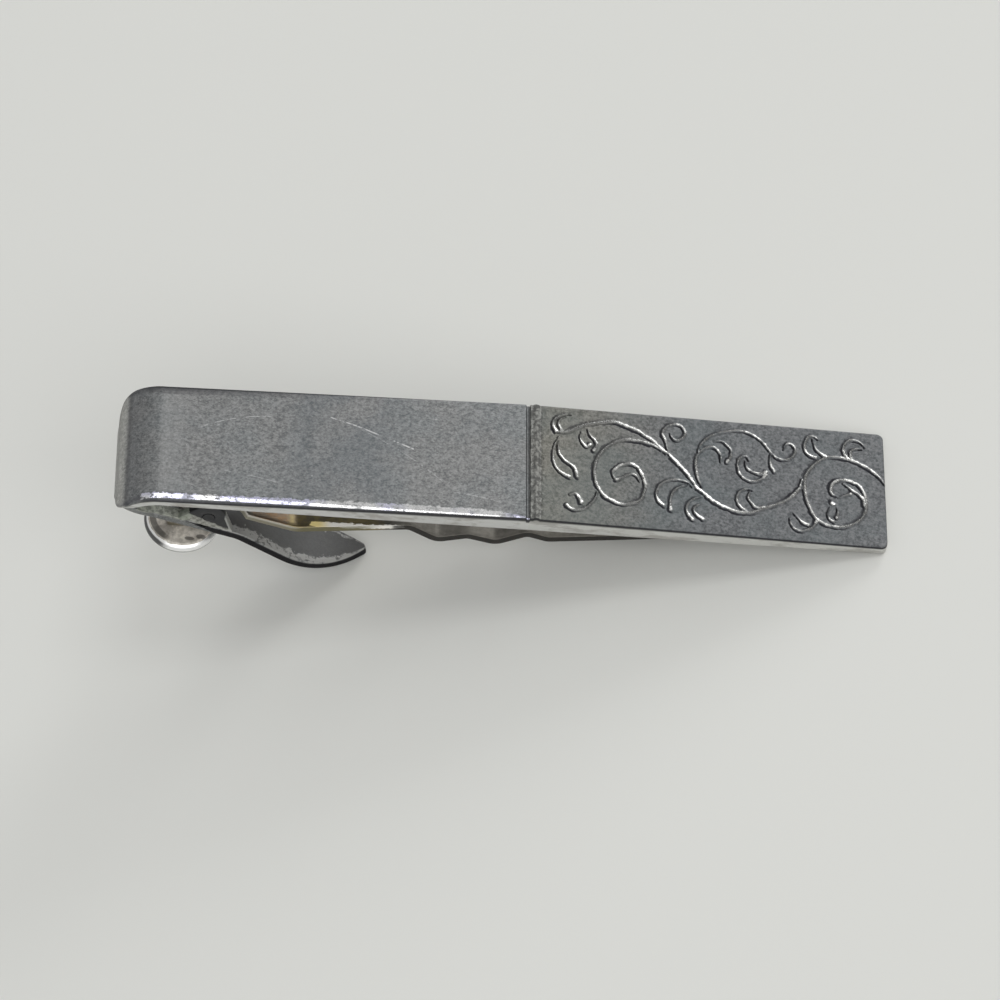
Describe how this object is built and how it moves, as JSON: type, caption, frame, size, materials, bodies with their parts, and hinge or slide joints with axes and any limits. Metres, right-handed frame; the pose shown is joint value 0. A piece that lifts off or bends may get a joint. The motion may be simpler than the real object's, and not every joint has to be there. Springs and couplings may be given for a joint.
{
  "type": "tie clip",
  "caption": "Folded sheet tie clip with a plain half and a scroll-relief half on the front bar, and a hinged, corrugated spring jaw with a thumb disc behind it.",
  "frame": {"origin": "middle of the front bar's flat back, on its centre line", "axes": "+X along the bar from the fold to the free end, +Y across the bar, +Z out of the bar's decorated front"},
  "size_m": [0.0576, 0.0104, 0.0138],
  "materials": {
    "plated_bar": "satin nickel-plated brass, dark in the relief panel",
    "plated_jaw": "bright plating with brass showing through",
    "plated_disc": "worn bright plating",
    "steel_pin": "plain steel",
    "spring_steel": "drawn steel wire"
  },
  "bodies": {
    "bar": {"front_bar": "plated_bar", "pivot_pin": "steel_pin", "torsion_spring": "spring_steel"},
    "jaw": {"lever": "plated_jaw", "thumb_disc": "plated_disc"}
  },
  "joints": [
    {"name": "jaw_hinge", "type": "hinge", "parent": "bar", "child": "jaw", "pos_m": [-0.0216, 0, -0.00556], "axis": [0, 1, 0], "range_deg": [0, 23], "stiffness_Nm_per_rad": 0.013, "springref_deg": -57.3, "deforming": ["torsion_spring"]}
  ]
}
